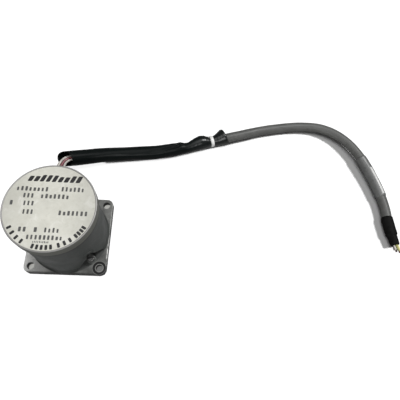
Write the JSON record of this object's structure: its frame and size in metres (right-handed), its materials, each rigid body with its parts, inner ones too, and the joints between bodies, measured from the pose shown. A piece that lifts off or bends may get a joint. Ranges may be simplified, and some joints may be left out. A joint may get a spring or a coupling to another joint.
{
  "type": "stepper motor",
  "caption": "Round-bodied stepper motor with a square mounting flange, a lead screw on its shaft, and a sleeved flying cable with a cut end.",
  "frame": {"origin": "centre of the flange's front mounting face, on the motor axis, which is also the centre of the four flange holes", "axes": "+Z along the motor axis from the mounting face to the rear cap; the shaft and lead screw point along -Z; +X and +Y run parallel to the flange's sides, with the wires leaving on the +Y side"},
  "size_m": [0.2729, 0.1351, 0.132],
  "materials": {
    "cast_aluminium": "satin",
    "housing_paint": "satin",
    "screw_steel": "satin",
    "black_rubber": "matte",
    "cap_metal": "satin",
    "label_foil": "satin",
    "lamination": "satin",
    "insulator": "matte",
    "spring_steel": "satin",
    "ground_steel": "gloss",
    "magnet": "matte",
    "black_pvc": "gloss",
    "white_nylon": "satin",
    "grey_pvc": "satin",
    "clear_tape": "gloss",
    "white_paper": "matte",
    "black_boot": "satin",
    "copper": "gloss",
    "bearing_steel": "gloss",
    "cage_brass": "satin",
    "wire_white": "satin",
    "wire_cream": "satin",
    "wire_brown": "satin",
    "wire_red": "satin",
    "wire_maroon": "satin",
    "wire_olive": "satin",
    "wire_yellow": "satin",
    "wire_grey": "satin"
  },
  "bodies": {
    "motor_body": {"front_flange": "cast_aluminium", "housing": "housing_paint", "housing_screws": "screw_steel", "grommet": "black_rubber", "rear_cap": "cap_metal", "label_plate": "label_foil", "stator_core": "lamination", "insulator_front": "insulator", "insulator_rear": "insulator", "preload_washer": "spring_steel", "sleeve": "black_pvc", "cable_tie": "white_nylon", "cable": "grey_pvc", "marker_wrap": "clear_tape", "marker_strip": "white_paper", "end_boot": "black_boot", "coil_1": "copper", "coil_2": "copper", "coil_3": "copper", "coil_4": "copper", "coil_5": "copper", "coil_6": "copper", "coil_7": "copper", "coil_8": "copper", "front_bearing_outer_race": "bearing_steel", "front_bearing_balls": "bearing_steel", "front_bearing_cage": "cage_brass", "front_bearing_shields": "bearing_steel", "rear_bearing_outer_race": "bearing_steel", "rear_bearing_balls": "bearing_steel", "rear_bearing_cage": "cage_brass", "rear_bearing_shields": "bearing_steel", "lead_wire_1": "wire_white", "lead_wire_2": "wire_maroon", "lead_wire_3": "wire_red", "lead_wire_4": "wire_brown", "lead_wire_5": "wire_white", "lead_wire_6": "wire_cream", "core_end_white": "wire_white", "core_end_olive": "wire_olive", "core_end_yellow": "wire_yellow", "core_end_red": "wire_red", "core_end_brown": "wire_brown", "core_end_grey": "wire_grey"},
    "rotor": {"shaft": "ground_steel", "lead_screw": "ground_steel", "rotor_cup_front": "lamination", "rotor_cup_rear": "lamination", "rotor_magnet": "magnet", "spacer_front": "ground_steel", "spacer_rear": "ground_steel", "front_bearing_inner_race": "bearing_steel", "rear_bearing_inner_race": "bearing_steel"}
  },
  "joints": [
    {"name": "rotor_spin", "type": "hinge", "parent": "motor_body", "child": "rotor", "pos_m": [0, 0, 0], "axis": [0, 0, 1], "continuous": true}
  ]
}
